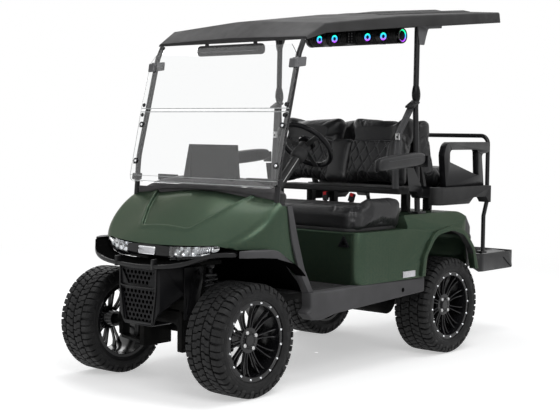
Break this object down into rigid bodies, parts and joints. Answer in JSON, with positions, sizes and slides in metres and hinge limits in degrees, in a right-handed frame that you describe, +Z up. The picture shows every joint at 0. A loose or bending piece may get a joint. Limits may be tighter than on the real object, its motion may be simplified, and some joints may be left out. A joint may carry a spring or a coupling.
{
  "type": "golf cart",
  "caption": "Electric golf cart with a front bench, a rear-facing seat with a foot step, a long roof on struts, a split windshield and spoked off-road wheels.",
  "frame": {"origin": "on the ground under the middle of the cart's overall box", "axes": "+Z up, -Y the way the cart drives forward, +X its left side"},
  "size_m": [1.204, 2.826, 2.0228],
  "materials": {
    "body_paint": "gloss metallic green",
    "trim_plastic": "moulded grey plastic",
    "dark_plastic": "moulded black plastic",
    "roof_plastic": "satin dark grey plastic",
    "frame_steel": "black powder coat",
    "bare_steel": "bare steel",
    "wheel_paint": "gloss black",
    "tyre": "black rubber",
    "vinyl": "black vinyl over foam",
    "clear": "clear polycarbonate",
    "lamp": "clear lens over reflectors",
    "tail_lens": "red lens",
    "webbing": "woven grey webbing"
  },
  "bodies": {
    "chassis": {"frame_rails": "frame_steel", "cross_members": "frame_steel", "floor_pan": "dark_plastic", "side_trims": "trim_plastic", "front_cowl": "body_paint", "front_flares": "trim_plastic", "headlights": "lamp", "front_fascia": "dark_plastic", "grille": "dark_plastic", "dash": "trim_plastic", "windshield": "clear", "front_struts": "frame_steel", "mirror": "dark_plastic", "roof": "roof_plastic", "rear_struts": "frame_steel", "sound_bar": "dark_plastic", "steering_column": "frame_steel", "pedals": "dark_plastic", "rear_body": "body_paint", "battery_pack": "dark_plastic", "rear_axle": "bare_steel", "rear_springs": "frame_steel", "front_suspension": "frame_steel", "front_shocks": "frame_steel", "seat_backs": "vinyl", "seat_frame": "frame_steel", "armrests": "dark_plastic", "rear_backrests": "vinyl", "side_frames": "dark_plastic", "rear_skirts": "trim_plastic", "grab_hoop": "frame_steel", "foot_step": "trim_plastic", "tail_lights": "tail_lens", "seat_belts": "webbing"},
    "rack": {"rack_rods": "bare_steel"},
    "left_knuckle": {"knuckle_left": "frame_steel"},
    "right_knuckle": {"knuckle_right": "frame_steel"},
    "wheel_fl": {"rim_front_left": "wheel_paint", "tyre_front_left": "tyre"},
    "wheel_fr": {"rim_front_right": "wheel_paint", "tyre_front_right": "tyre"},
    "wheel_rl": {"rim_rear_left": "wheel_paint", "tyre_rear_left": "tyre"},
    "wheel_rr": {"rim_rear_right": "wheel_paint", "tyre_rear_right": "tyre"},
    "hand_wheel": {"steering_wheel": "dark_plastic"},
    "bench": {"seat_cushion": "vinyl"},
    "rear_seat": {"rear_cushion": "vinyl"}
  },
  "joints": [
    {"name": "steering_turn", "type": "hinge", "parent": "chassis", "child": "hand_wheel", "pos_m": [0.28, -0.4585, 1.195], "axis": [0, 0.7071, 0.7071], "range_deg": [-270, 270]},
    {"name": "rack_slide", "type": "slide", "parent": "chassis", "child": "rack", "axis": [1, 0, 0], "range_m": [-0.06, 0.06]},
    {"name": "steer_left", "type": "hinge", "parent": "chassis", "child": "left_knuckle", "pos_m": [0.372, -1.133, 0.275], "axis": [0, 0, 1], "range_deg": [-30, 30]},
    {"name": "steer_right", "type": "hinge", "parent": "chassis", "child": "right_knuckle", "pos_m": [-0.372, -1.133, 0.275], "axis": [0, 0, 1], "range_deg": [-30, 30]},
    {"name": "roll_front_left", "type": "hinge", "parent": "left_knuckle", "child": "wheel_fl", "pos_m": [0.4545, -1.133, 0.275], "axis": [1, 0, 0], "continuous": true},
    {"name": "roll_front_right", "type": "hinge", "parent": "right_knuckle", "child": "wheel_fr", "pos_m": [-0.4545, -1.133, 0.275], "axis": [1, 0, 0], "continuous": true},
    {"name": "roll_rear_left", "type": "hinge", "parent": "chassis", "child": "wheel_rl", "pos_m": [0.4545, 0.536, 0.275], "axis": [1, 0, 0], "continuous": true},
    {"name": "roll_rear_right", "type": "hinge", "parent": "chassis", "child": "wheel_rr", "pos_m": [-0.4545, 0.536, 0.275], "axis": [1, 0, 0], "continuous": true},
    {"name": "bench_lift", "type": "hinge", "parent": "chassis", "child": "bench", "pos_m": [0, 0.1135, 0.826], "axis": [-1, 0, 0], "range_deg": [0, 42]},
    {"name": "rear_seat_lift", "type": "hinge", "parent": "chassis", "child": "rear_seat", "pos_m": [0, 0.6265, 0.9455], "axis": [1, 0, 0], "range_deg": [0, 60]}
  ],
  "couplings": [
    {"joint": "steer_right", "follows": "steer_left", "ratio": 1},
    {"joint": "rack_slide", "follows": "steer_left", "m_per_rad": -0.11},
    {"joint": "steering_turn", "follows": "steer_left", "ratio": 9}
  ]
}
